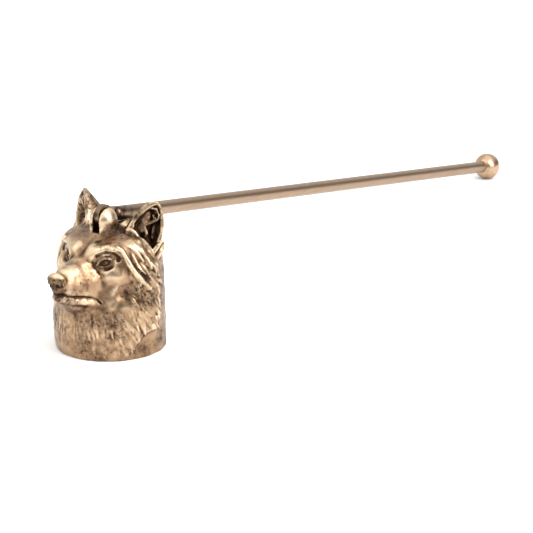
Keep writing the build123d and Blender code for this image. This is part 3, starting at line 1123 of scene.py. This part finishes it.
    @staticmethod
    def ear() -> EarShell:
        """Shape the half-round cone of the left ear, before it is hollowed.

        Returns:
            The cone.
        """
        return EarShell(
            (10.9, 1.2, 31.5), (0.53, -0.84, 0.10), (0.17, 0.30, 0.94),
            levels=(-4.0, 0.0, 2.0, 5.0, 7.0, 9.0, 10.6, 11.4),
            inner=(-4.6, -5.4, -5.3, -4.6, -4.0, -3.1, -1.7, -0.3),
            outer=(4.2, 4.9, 4.9, 4.3, 3.8, 2.9, 1.8, 0.5),
            depth=(6.2, 7.2, 7.2, 6.5, 5.2, 3.2, 1.4, 0.5),
            front=(0.3, 0.3, 0.1, -0.1, -0.3, -0.6, -1.0, -1.3),
        )

    def ears(self, clay: Clay) -> None:
        """Ears: half-round cones with a deep hollow, folds inside and tufts at their foot.

        Args:
            clay: Clay to work in.
        """
        ear = self.ear()
        clay.add(ear, 0.8)
        hollow = EarShell(
            ear.base, ear.out, ear.up,
            levels=(-3.0, -2.0, -0.9, 0.7, 2.2, 3.8, 6.2, 8.1, 9.6, 10.6),
            inner=(2.3, 1.3, 0.3, -1.6, -3.5, -3.8, -2.9, -1.8, -0.6, 0.3),
            outer=(3.0, 3.2, 3.4, 3.6, 3.7, 3.6, 3.2, 2.5, 1.8, 0.9),
            depth=(1.8, 2.8, 3.6, 4.6, 5.0, 4.9, 4.3, 3.4, 2.3, 1.2),
            front=(1.6, 1.5, 1.3, 1.2, 1.0, 0.9, 0.7, 0.4, 0.0, -0.3),
        )
        clay.cut(hollow, 0.3)
        groove = ((-4.8, 2.6, 0.3), (-4.3, 5.0, 0.1), (-3.2, 7.6, -0.2), (-1.4, 9.9, -0.6))
        clay.cut(Strand([ear.place(*p) for p in groove], (0.2, 0.3, 0.3, 0.2)), 0.25)
        clay.add(Blob(ear.place(-1.5, 5.8, -2.8), (2.7, 1.7, 1.3), ear.up, ear.out), 0.5)
        clay.add(Blob(ear.place(-1.7, 2.6, -2.3), (2.1, 1.6, 1.2), ear.up, ear.out), 0.5)
        for points, radii in self.EAR_FOLDS:
            clay.add(Strand([ear.place(*p) for p in points], radii), 0.3)
        crest = [(4.1, 1.4, 34.7), (4.3, 3.4, 35.1), (5.6, 4.8, 34.9), (7.6, 5.0, 34.2)]
        clay.add(Strand(crest, (0.9, 1.2, 1.2, 0.9)), 1.6)
        for points, radii in self.EAR_LOBE:
            clay.add(Strand([ear.place(*p) for p in points], radii), 0.3, both=False)

    def hinge(self, clay: Clay) -> None:
        """Domed cheeks on a flared foot, split by the slot for the rod's eye.

        The cheeks are one upright tube with a round end, less a box as wide as the slot.

        Args:
            clay: Clay to work in.
        """
        middle = self.pin_height - self.cheek_drop
        radius = self.cheek_radius
        foot = (0, -self.pin_offset, self.crown_height - 1.0)
        dome = (0, -self.pin_offset, middle)
        clay.add(Strand([foot, dome], (radius - 0.3, radius)), 1.8, both=False)
        x, y, z = clay.grid()
        gap = np.maximum(np.abs(x) - self.slot_width / 2, self.slot_floor - z)
        gap = np.maximum(gap, np.abs(y + self.pin_offset) - (radius + 2.2))
        clay.field = smooth_max(clay.field, -gap, 0.7).astype(np.float32)

    def roughen(self, clay: Clay) -> None:
        """Uneven cast skin: smooth noise of two sizes added to the field near the surface.

        Args:
            clay: Clay to work in.
        """
        near = np.argwhere(np.abs(clay.field) < 1.2)
        points = clay.low + near * clay.step
        bumps = np.zeros(len(points))
        for depth, size, seed in self.CAST_SKIN:
            bumps += depth * lattice_noise(points, size, seed)
        clay.field[tuple(near.T)] += bumps.astype(np.float32)

    def cavity(self, clay: Clay) -> None:
        """Straight bore under a dome of the same radius, and a flat rim.

        Its distance is sqrt(x^2 + y^2 + rise^2) less the bore's radius, where rise is the height
        over the straight part.

        Args:
            clay: Clay to work in.
        """
        x, y, z = clay.grid()
        rise = np.maximum(z - self.bore_depth, 0)
        bore = np.sqrt(x * x + y * y + rise * rise) - self.bore_radius
        clay.field = smooth_max(clay.field, -bore, 0.3).astype(np.float32)
        clay.field = smooth_max(clay.field, -z, 0.5).astype(np.float32)

    def sculpt(self) -> Clay:
        """Sculpt the whole casting.

        Returns:
            The clay, with the casting as its field.
        """
        step = self.grid_step * 1.0
        clay = Clay(self.grid_low, self.grid_high, step)
        relief = self.relief()
        self.skull(clay, relief)
        self.cheeks(clay, relief)
        self.muzzle(clay)
        self.mouth(clay)
        self.nose(clay)
        self.lip_hair(clay)
        self.brows(clay)
        self.eyes(clay)
        self.ears(clay)
        self.roughen(clay)
        self.hinge(clay)
        self.cavity(clay)
        return clay

    def build(self) -> bpy.types.Object:
        """Skin the clay, thin the skin out, and settle its points and normals on the clay.

        Returns:
            The finished piece.
        """
        clay = self.sculpt()
        vertices, quads = clay.skin()
        mesh = bpy.data.meshes.new("wolf_head")
        mesh.from_pydata(vertices * MM, [], quads.tolist())
        piece = bpy.data.objects.new("wolf_head", mesh)
        bpy.context.scene.collection.objects.link(piece)
        self.thin(piece)
        mesh = piece.data
        points = np.empty(len(mesh.vertices) * 3, np.float32)
        mesh.vertices.foreach_get("co", points)
        points = points.reshape(-1, 3).astype(float) / MM
        for _ in range(2):
            slope = clay.slope(points)
            steep = np.maximum((slope**2).sum(1), 0.05)
            move = -clay.sample(clay.field, points) / steep
            points += slope * np.clip(move, -0.1, 0.1)[:, None]
        points[:, 2] = np.maximum(points[:, 2], 0)
        mesh.vertices.foreach_set("co", (points * MM).astype(np.float32).ravel())
        slope = clay.slope(points)
        normals = slope / np.maximum(np.linalg.norm(slope, axis=1), 1e-6)[:, None]
        self.mark_patina_and_painted_light(clay, mesh, points)
        mesh.polygons.foreach_set("use_smooth", np.ones(len(mesh.polygons), bool))
        mesh.normals_split_custom_set_from_vertices(normals.tolist())
        mesh.update()
        return piece

    def thin(self, piece: bpy.types.Object) -> None:
        """Collapse short edges until the mesh has no more triangles than it may have.

        Args:
            piece: Piece with a mesh of quads.
        """
        triangles = 2 * len(piece.data.polygons)
        if triangles <= self.most_triangles:
            return
        modifier = piece.modifiers.new("thin", "DECIMATE")
        modifier.ratio = self.most_triangles / triangles
        modifier.use_collapse_triangulate = True
        depsgraph = bpy.context.evaluated_depsgraph_get()
        thinned = bpy.data.meshes.new_from_object(piece.evaluated_get(depsgraph))
        piece.modifiers.clear()
        full = piece.data
        piece.data = thinned
        thinned.name = "wolf_head"
        bpy.data.meshes.remove(full)

    @staticmethod
    def dress(piece: bpy.types.Object, pin: bpy.types.Object) -> None:
        """Give the casting and the pin filed flush with it the same finish.

        Args:
            piece: The finished casting.
            pin: CAD node of the hinge pin.
        """
        cast = AntiqueCastBrass().material()
        piece.data.materials.append(cast)
        cover(pin, cast)

    def mark_patina_and_painted_light(self, clay: Clay, mesh: bpy.types.Mesh, points: Array) -> None:
        """Write how hollow each point lies, and its share of painted light and patina.

        The share of metal in a small window round a point is a half on a flat, more in a recess
        and less on a crest. It is taken for a narrow and a wide window. The second share lays
        painted shade and patina on the foot of the hinge and inside the ears, patina on the front
        of the nose and painted shade on the back of the neck, and follows the spots, where a
        negative share paints a highlight.

        Args:
            clay: Clay that the mesh was skinned from.
            mesh: Mesh that takes the attributes.
            points: Its points as rows, in mm.
        """
        solid = np.clip(0.5 - clay.field / clay.step, 0, 1)
        for name, width in (("hollow_fine", 0.8), ("hollow_wide", 2.4)):
            reach = max(int(round(width / clay.step / 2)), 1)
            blurred = solid
            for axis in range(3):
                total = np.cumsum(blurred, axis=axis, dtype=np.float64)
                ahead = np.roll(total, -reach, axis=axis)
                behind = np.roll(total, reach + 1, axis=axis)
                blurred = ((ahead - behind) / (2 * reach + 1)).astype(np.float32)
            share = np.clip(clay.sample(blurred, points), 0, 1)
            # Near the rim the shares count as flat, so it gets neither patina nor a painted crest
            # highlight
            share = np.maximum(share, np.interp(points[:, 2], (1.2, 3.0), (0.5, 0.0)))
            attribute = mesh.attributes.new(name, "FLOAT", "POINT")
            attribute.data.foreach_set("value", share.astype(np.float32))

        x, y, z = np.abs(points[:, 0]), points[:, 1], points[:, 2]
        # Painted shade and patina round the foot of the hinge, under the rod
        level = np.interp(z, (30.5, 33.5, 36.0, 37.2), (0.0, 1.0, 1.0, 0.0))
        foot = level * np.interp(np.hypot(x, y + self.pin_offset), (2.8, 4.2, 6.2), (1.0, 0.5, 0.0))
        # Painted shade on the back of the neck
        neck = np.interp(y, (-1.0, 6.0), (0.0, 0.5))
        ear = self.ear()
        # Patina and painted shade inside the ears
        inside = np.interp(ear.distance(x, y, z), (-1.3, -0.5), (0.85, 0.0)) * (z > 31)
        nose = np.interp(-y, (21.9, 23.2), (0.0, 1.0)) * np.interp(z, (25.3, 26.1), (1.0, 0.0))
        painted_light_patina_share = np.maximum.reduce([foot, neck, inside, nose])
        # Painted shade over the inner edge of each ear, which dims a lamp's reflection there
        inner_edge = (tuple(ear.place(-4.4, 6.5, -1.5)), 4.0, 0.75)
        # Positive spots add painted shade and patina, negative ones paint highlights
        for centre, reach, most in (*self.PAINTED_LIGHT_AND_PATINA_SPOTS, inner_edge):
            away = np.linalg.norm(np.stack([x, y, z], axis=1) - centre, axis=1)
            share = np.interp(away, (0.3 * reach, reach), (most, 0.0))
            painted_light_patina_share = np.maximum(painted_light_patina_share, share) if most > 0 else painted_light_patina_share + share
        attribute = mesh.attributes.new("painted_light_and_patina", "FLOAT", "POINT")
        attribute.data.foreach_set("value", painted_light_patina_share.astype(np.float32))


def linear(hex_colour: str) -> tuple[float, float, float, float]:
    """Turn an sRGB colour to linear: v / 12.92 near black, else ((v + 0.055) / 1.055) ^ 2.4.

    Args:
        hex_colour: Colour such as #dbc2a2.

    Returns:
        Red, green, blue and an alpha of 1.
    """
    values = [int(hex_colour.lstrip("#")[n : n + 2], 16) / 255 for n in (0, 2, 4)]
    parts = [v / 12.92 if v <= 0.04045 else ((v + 0.055) / 1.055) ** 2.4 for v in values]
    return parts[0], parts[1], parts[2], 1.0


def add_node(
    tree: bpy.types.NodeTree, kind: str, links: dict | None = None, **settings: object
) -> bpy.types.Node:
    """Add a shader node.

    Args:
        tree: Node tree that it goes into.
        kind: Node type, without the ShaderNode in front.
        links: For each input, its value or the output that it is linked to.
        **settings: Values for the node's own properties.

    Returns:
        The node.
    """
    node = tree.nodes.new("ShaderNode" + kind)
    for name, value in settings.items():
        setattr(node, name, value)
    for name, value in (links or {}).items():
        socket = node.inputs[name]
        if isinstance(value, bpy.types.NodeSocket):
            tree.links.new(value, socket)
        else:
            socket.default_value = value
    return node


def start_metal(name: str) -> tuple[bpy.types.Material, bpy.types.Node, bpy.types.NodeSocket]:
    """Start a bare metal, whose patterns are laid out in Object coordinates.

    Args:
        name: Name of the material.

    Returns:
        The material, its shader and the coordinates.
    """
    material = bpy.data.materials.new(name)
    material.use_nodes = True
    tree = material.node_tree
    shader = tree.nodes["Principled BSDF"]
    shader.inputs["Metallic"].default_value = 1.0
    return material, shader, add_node(tree, "TexCoord").outputs["Object"]


class Slot(Enum):
    """The record's material slots."""

    ANTIQUE = "antique_cast_brass"
    BRUSHED = "brushed_brass"
    POLISHED = "polished_brass"


@dataclass(frozen=True)
class AntiqueCastBrass:
    """Investment-cast brass, darkened and then rubbed back by hand.

    The dark patina stays in the recesses and in small pits, and the crests are bare metal with a
    soft gloss, lightened further as a painted highlight, so the relief reads as dark lines round
    light forms. The mesh's share of painted light and patina adds painted shade in the patina's
    colour, and paints highlights at its negative spots.

    Attributes:
        rubbed: Colour of the crests, bare from wear and lightened further as a painted highlight.
        metal: Colour of the bare metal.
        warm: Colour of its warmer clouds.
        patina: Colour of the dark patina, also laid as painted shade.
        roughness: Roughness of the bare metal.
        dull: Roughness of the patina.
        pit_mm: Distance between cast pits.
        blot_mm: Distance between blots of patina.
        cloud_mm: Distance between clouds.
        pit_depth_mm: Depth of a pit.
    """

    # The crests' colour: bare metal from wear, lightened further as a painted highlight
    rubbed: str = "#dbc2a2"
    metal: str = "#a6886a"
    warm: str = "#82664e"
    patina: str = "#3a2a20"
    roughness: float = 0.30
    dull: float = 0.5
    pit_mm: float = 0.8
    blot_mm: float = 2.2
    cloud_mm: float = 6.0
    pit_depth_mm: float = 0.12

    # Each row brings a pattern from low..high to 0..top: name, pattern, low, high, top
    RANGES = (
        ("narrow", "hollow_fine", 0.51, 0.70, 1.0),
        ("broad", "hollow_wide", 0.52, 0.68, 0.8),
        # The painted light and patina share clears the hollows at painted highlight spots
        ("open", "painted_light_and_patina", -1.0, 0.0, 1.0),
        ("cloud", "clouds", 0.40, 0.64, 1.0),
        ("pit", "pits", 0.50, 0.66, 1.0),
        ("blot", "blots", 0.50, 0.68, 0.85),
        # Painted shade and patina from the same share
        ("under", "painted_light_and_patina", 0.0, 1.0, 0.45),
        # Crests, bare from wear and lightened as a painted highlight, but not under painted shade
        ("fine_crest", "hollow_fine", 0.49, 0.38, 1.0),
        ("wide_crest", "hollow_wide", 0.49, 0.38, 1.0),
        ("bare", "painted_light_and_patina", 0.9, 0.1, 1.0),
        ("clear", "clouds", 0.70, 0.35, 0.5),
    )

    # Each row joins two values: name, operation, the two, and whether the result stays in 0..1.
    # Patina is held in hollows, but cleared at painted highlight spots, and in pits and blots where
    # there are clouds, or painted shade and patina, which also darken on their own. The crests, away
    # from painted shade and patina, are bare from wear and lightened as painted highlights, and lose
    # their spots.
    STEPS = (
        ("held", "ADD", "narrow", "broad", False),
        ("held", "MULTIPLY", "held", "open", False),
        ("reach", "ADD", "cloud", "painted_light_and_patina", True),
        ("pit", "MULTIPLY", "pit", "reach", False),
        ("blot", "MULTIPLY", "blot", "reach", False),
        ("spots", "MAXIMUM", "pit", "blot", False),
        ("spots", "ADD", "spots", "under", False),
        ("crest", "MAXIMUM", "fine_crest", "wide_crest", False),
        ("crest", "MULTIPLY", "crest", "bare", False),
        ("worn_and_highlit", "MULTIPLY", "crest", "clear", False),
        ("spots", "SUBTRACT", "spots", "worn_and_highlit", True),
        ("dark", "ADD", "held", "spots", True),
    )

    def material(self) -> bpy.types.Material:
        """Metal whose colour and gloss follow the recesses, with cast pits and clouds.

        Returns:
            The material.
        """
        material, shader, place = start_metal(Slot.ANTIQUE.value)
        tree = material.node_tree
        value = {}
        for name, size, detail, rough in (
            ("pits", self.pit_mm, 5.0, 0.66),
            ("blots", self.blot_mm, 5.0, 0.62),
            ("clouds", self.cloud_mm, 3.0, 0.55),
        ):
            links = {"Vector": place, "Scale": 1 / (size * MM), "Detail": detail, "Roughness": rough}
            value[name] = add_node(tree, "TexNoise", links).outputs["Fac"]
        for name in ("hollow_fine", "hollow_wide", "painted_light_and_patina"):
            value[name] = add_node(tree, "Attribute", attribute_name=name).outputs["Fac"]
        for name, pattern, low, high, top in self.RANGES:
            links = {"Value": value[pattern], "From Min": low, "From Max": high, "To Max": top}
            value[name] = add_node(tree, "MapRange", links).outputs["Result"]
        for name, kind, first, second, clamp in self.STEPS:
            links = {0: value[first], 1: value[second]}
            value[name] = add_node(tree, "Math", links, operation=kind, use_clamp=clamp).outputs[0]

        # The crests take a painted highlight on their wear, and dark lays patina and painted shade
        colour = linear(self.metal)
        for share, tint in (("cloud", self.warm), ("crest", self.rubbed), ("dark", self.patina)):
            links = {"Factor": value[share], "A": colour, "B": linear(tint)}
            colour = add_node(tree, "Mix", links, data_type="RGBA").outputs["Result"]
        tree.links.new(colour, shader.inputs["Base Color"])
        links = {"Value": value["dark"], "To Min": self.roughness, "To Max": self.dull}
        gloss = add_node(tree, "MapRange", links)
        tree.links.new(gloss.outputs["Result"], shader.inputs["Roughness"])
        links = {"Height": value["pits"], "Strength": 0.35, "Distance": self.pit_depth_mm * MM}
        bump = add_node(tree, "Bump", links, invert=True)
        tree.links.new(bump.outputs["Normal"], shader.inputs["Normal"])
        return material


@dataclass(frozen=True)
class BrushedBrass:
    """Drawn brass rod, rubbed lengthwise with a fine pad and lightly darkened at the hinge.

    The fine scratches along the rod stretch its highlights across it.

    Attributes:
        metal: Colour of the rubbed metal.
        dull: Colour between the scratches.
        patina: Colour of the patina near the hinge.
        roughness: Mean roughness.
        scratch_mm: Distance between scratches, coarser than the pad's, so that they show.
        stretch: Length of a scratch over its width.
        scratch_depth_mm: Depth of a scratch.
        cloud_mm: Distance between the patina's specks.
    """

    metal: str = "#ae947b"
    dull: str = "#8a725e"
    patina: str = "#4a382b"
    roughness: float = 0.34
    scratch_mm: float = 0.25
    stretch: float = 60.0
    scratch_depth_mm: float = 0.03
    cloud_mm: float = 2.5

    def material(self, fade_start: float, fade_end: float) -> bpy.types.Material:
        """Metal with lengthwise scratches, and patina that ends between two places along Y.

        Args:
            fade_start: Y where the patina begins to end, in mm.
            fade_end: Y where it has ended, in mm.

        Returns:
            The material.
        """
        material, shader, place = start_metal(Slot.BRUSHED.value)
        tree = material.node_tree
        across = 1 / (self.scratch_mm * MM)
        links = {"Vector": place, "Scale": (across, across / self.stretch, across)}
        drawn = add_node(tree, "Mapping", links).outputs["Vector"]
        links = {"Vector": drawn, "Scale": 1.0, "Detail": 2.0}
        scratches = add_node(tree, "TexNoise", links).outputs["Fac"]
        links = {"Vector": place, "Scale": 1 / (self.cloud_mm * MM), "Detail": 4.0}
        clouds = add_node(tree, "TexNoise", links).outputs["Fac"]
        along = add_node(tree, "SeparateXYZ", {"Vector": place}).outputs["Y"]
        links = {"Value": along, "From Min": fade_start * MM, "From Max": fade_end * MM}
        links |= {"To Min": 1.0, "To Max": 0.0}
        near = add_node(tree, "MapRange", links).outputs["Result"]
        links = {"Value": clouds, "From Min": 0.40, "From Max": 0.62}
        speck = add_node(tree, "MapRange", links).outputs["Result"]
        spread = add_node(tree, "Math", {0: speck, 1: 0.45}, operation="MAXIMUM").outputs[0]
        dark = add_node(tree, "Math", {0: near, 1: spread}, operation="MULTIPLY").outputs[0]

        colour = linear(self.metal)
        for share, tint in ((scratches, self.dull), (dark, self.patina)):
            links = {"Factor": share, "A": colour, "B": linear(tint)}
            colour = add_node(tree, "Mix", links, data_type="RGBA").outputs["Result"]
        tree.links.new(colour, shader.inputs["Base Color"])
        links = {"Value": scratches, "From Min": 0.3, "From Max": 0.7}
        links |= {"To Min": self.roughness - 0.05, "To Max": self.roughness + 0.06}
        gloss = add_node(tree, "MapRange", links)
        tree.links.new(gloss.outputs["Result"], shader.inputs["Roughness"])
        links = {"Height": scratches, "Strength": 0.12, "Distance": self.scratch_depth_mm * MM}
        bump = add_node(tree, "Bump", links)
        tree.links.new(bump.outputs["Normal"], shader.inputs["Normal"])
        return material


@dataclass(frozen=True)
class PolishedBrass:
    """Turned brass ball, buffed to a gloss, with a few soft stains that break its reflections.

    Attributes:
        metal: Colour of the buffed metal.
        stain: Colour of the stains.
        roughness: Mean roughness.
        stain_mm: Distance between stains.
    """

    metal: str = "#bfa387"
    stain: str = "#927558"
    roughness: float = 0.27
    stain_mm: float = 3.0

    def material(self) -> bpy.types.Material:
        """Glossy metal with faint clouds.

        Returns:
            The material.
        """
        material, shader, place = start_metal(Slot.POLISHED.value)
        tree = material.node_tree
        links = {"Vector": place, "Scale": 1 / (self.stain_mm * MM), "Detail": 3.0}
        clouds = add_node(tree, "TexNoise", links).outputs["Fac"]
        links = {"Value": clouds, "From Min": 0.45, "From Max": 0.75}
        share = add_node(tree, "MapRange", links).outputs["Result"]
        links = {"Factor": share, "A": linear(self.metal), "B": linear(self.stain)}
        colour = add_node(tree, "Mix", links, data_type="RGBA")
        tree.links.new(colour.outputs["Result"], shader.inputs["Base Color"])
        links = {"Value": clouds, "From Min": 0.3, "From Max": 0.7}
        links |= {"To Min": self.roughness - 0.04, "To Max": self.roughness + 0.08}
        gloss = add_node(tree, "MapRange", links)
        tree.links.new(gloss.outputs["Result"], shader.inputs["Roughness"])
        return material


@dataclass
class Studio:
    """White paper sweep, soft lamps and the camera at the photograph's angle.

    Attributes:
        azimuth: Turn of the camera round the object, in degrees; 0 looks along +Y.
        elevation: Height of the camera above the horizon, in degrees.
        distance: From the aim point to the camera, in metres.
        aim: Point that the camera looks at, in metres.
        focal_px: Focal length in pixels of the 533 pixel frame.
        frame_px: Width of the frame in pixels.
        dim_room: How much darker the dim stretch of the room is.
        paper_size: Half width of the paper, in metres.
    """

    azimuth: float = 34.49
    elevation: float = 17.36
    distance: float = 0.6192
    aim: tuple[float, float, float] = (0.0358, 0.0246, 0.02254)
    focal_px: float = 2235.0
    frame_px: float = 533.0
    dim_room: float = 0.8
    paper_size: float = 3.0

    def build(self) -> None:
        """Floor, world, lamps and camera."""
        self.floor()
        self.world()
        self.lamps()
        self.camera()

    def floor(self) -> None:
        """Paper that is white to the camera and still takes the object's shadow."""
        mesh = bpy.data.meshes.new("paper")
        size = self.paper_size
        corners = [(-size, -size, 0), (size, -size, 0), (size, size, 0), (-size, size, 0)]
        mesh.from_pydata(corners, [], [(0, 1, 2, 3)])
        paper = bpy.data.objects.new("paper", mesh)
        bpy.context.scene.collection.objects.link(paper)
        material = bpy.data.materials.new("white_paper")
        material.use_nodes = True
        tree = material.node_tree
        shader = tree.nodes["Principled BSDF"]
        shader.inputs["Base Color"].default_value = linear("#fafafa")
        shader.inputs["Roughness"].default_value = 0.9
        shader.inputs["Specular IOR Level"].default_value = 0.1
        mesh.materials.append(material)

    def world(self) -> None:
        """White all round, with a dim stretch of room in what metal reflects.

        The room is white near the floor and overhead. Between, over the sweep's edge and under
        the lamps, reflections find it dim on the right, which gives the rod its dark line.
        """
        world = bpy.data.worlds.new("studio")
        bpy.context.scene.world = world
        world.use_nodes = True
        tree = world.node_tree
        ray = add_node(tree, "NewGeometry").outputs["Incoming"]
        parts = add_node(tree, "SeparateXYZ", {"Vector": ray}).outputs
        dim = add_node(tree, "LightPath").outputs["Is Glossy Ray"]
        # The dim stretch lies on the right, from over the sweep's edge to under the lamps
        for axis, edge, full in (("X", -0.08, -0.30), ("Z", -0.05, -0.14), ("Z", -0.60, -0.42)):
            links = {"Value": parts[axis], "From Min": edge, "From Max": full}
            share = add_node(tree, "MapRange", links).outputs["Result"]
            dim = add_node(tree, "Math", {0: dim, 1: share}, operation="MULTIPLY").outputs[0]
        links = {0: dim, 1: -self.dim_room, 2: 1.0}
        strength = add_node(tree, "Math", links, operation="MULTIPLY_ADD").outputs[0]
        background = tree.nodes["Background"]
        background.inputs["Color"].default_value = linear("#ffffff")
        tree.links.new(strength, background.inputs["Strength"])

    def lamps(self) -> None:
        """Soft lamps: a window-like one on the right, a weak one in front, a wide one above."""
        for name, place, size, power in (
            ("side", (0.55, 0.05, 0.42), (0.36, 0.68), 4.6),
            ("front", (-0.20, -0.60, 0.60), (1.0, 1.0), 2.0),
            ("top", (0.00, 0.10, 0.90), (1.2, 1.2), 3.0),
        ):
            lamp = bpy.data.lights.new(name, "AREA")
            lamp.shape = "RECTANGLE"
            lamp.size, lamp.size_y = size
            lamp.energy = power
            holder = bpy.data.objects.new(name, lamp)
            aim = Vector((0, 0.03, 0.02)) - Vector(place)
            holder.location = place
            holder.rotation_euler = aim.to_track_quat("-Z", "Y").to_euler()
            bpy.context.scene.collection.objects.link(holder)

    def camera(self) -> None:
        """Camera at the photograph's place, with its focal length."""
        turn, rise = math.radians(self.azimuth), math.radians(self.elevation)
        back = Vector(
            (math.sin(turn) * math.cos(rise), -math.cos(turn) * math.cos(rise), math.sin(rise))
        )
        data = bpy.data.cameras.new("camera")
        data.sensor_width = 36.0
        data.lens = self.focal_px / self.frame_px * data.sensor_width
        camera = bpy.data.objects.new("camera", data)
        camera.location = Vector(self.aim) + back * self.distance
        camera.rotation_euler = (-back).to_track_quat("-Z", "Y").to_euler()
        bpy.context.scene.collection.objects.link(camera)
        bpy.context.scene.camera = camera


def cover(node: bpy.types.Object, material: bpy.types.Material) -> None:
    """Give a CAD node one material in every slot.

    Args:
        node: CAD node.
        material: Its material.
    """
    if not node.material_slots:
        node.data.materials.append(material)
    for slot in node.material_slots:
        slot.material = material


@dataclass
class Handle:
    """The rod and its ball, whose shapes are the CAD's, in mm.

    Attributes:
        patina_end: Y where the rod's patina has ended.
        patina_fade: Length of rod over which it ends.
    """

    patina_end: float = 22.0
    patina_fade: float = 17.0

    def dress(self, rod: bpy.types.Object, ball: bpy.types.Object) -> None:
        """Give the rod and the ball their finishes.

        Args:
            rod: CAD node of the rod.
            ball: CAD node of the ball.
        """
        fade_start = self.patina_end - self.patina_fade
        cover(rod, BrushedBrass().material(fade_start, self.patina_end))
        cover(ball, PolishedBrass().material())


def main() -> None:
    """Build the snuffer round its frame, then the studio."""
    logging.basicConfig(level=logging.INFO, format="%(name)s: %(message)s")
    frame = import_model()
    bpy.context.scene.view_settings.view_transform = "Standard"

    nodes = frame["nodes"]
    head = WolfHeadBell()
    piece = head.build()
    head.dress(piece, nodes["hinge_pin"])
    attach(piece, head.body)
    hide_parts("wolf_head_bell")
    log.info("wolf head: %d triangles", sum(len(f.vertices) - 2 for f in piece.data.polygons))
    log.info("hinge pin dressed")
    Handle().dress(nodes["handle_rod"], nodes["end_ball"])
    log.info("handle rod and end ball dressed")

    Studio().build()
    log.info("studio set up")


if __name__ == "__main__":
    main()
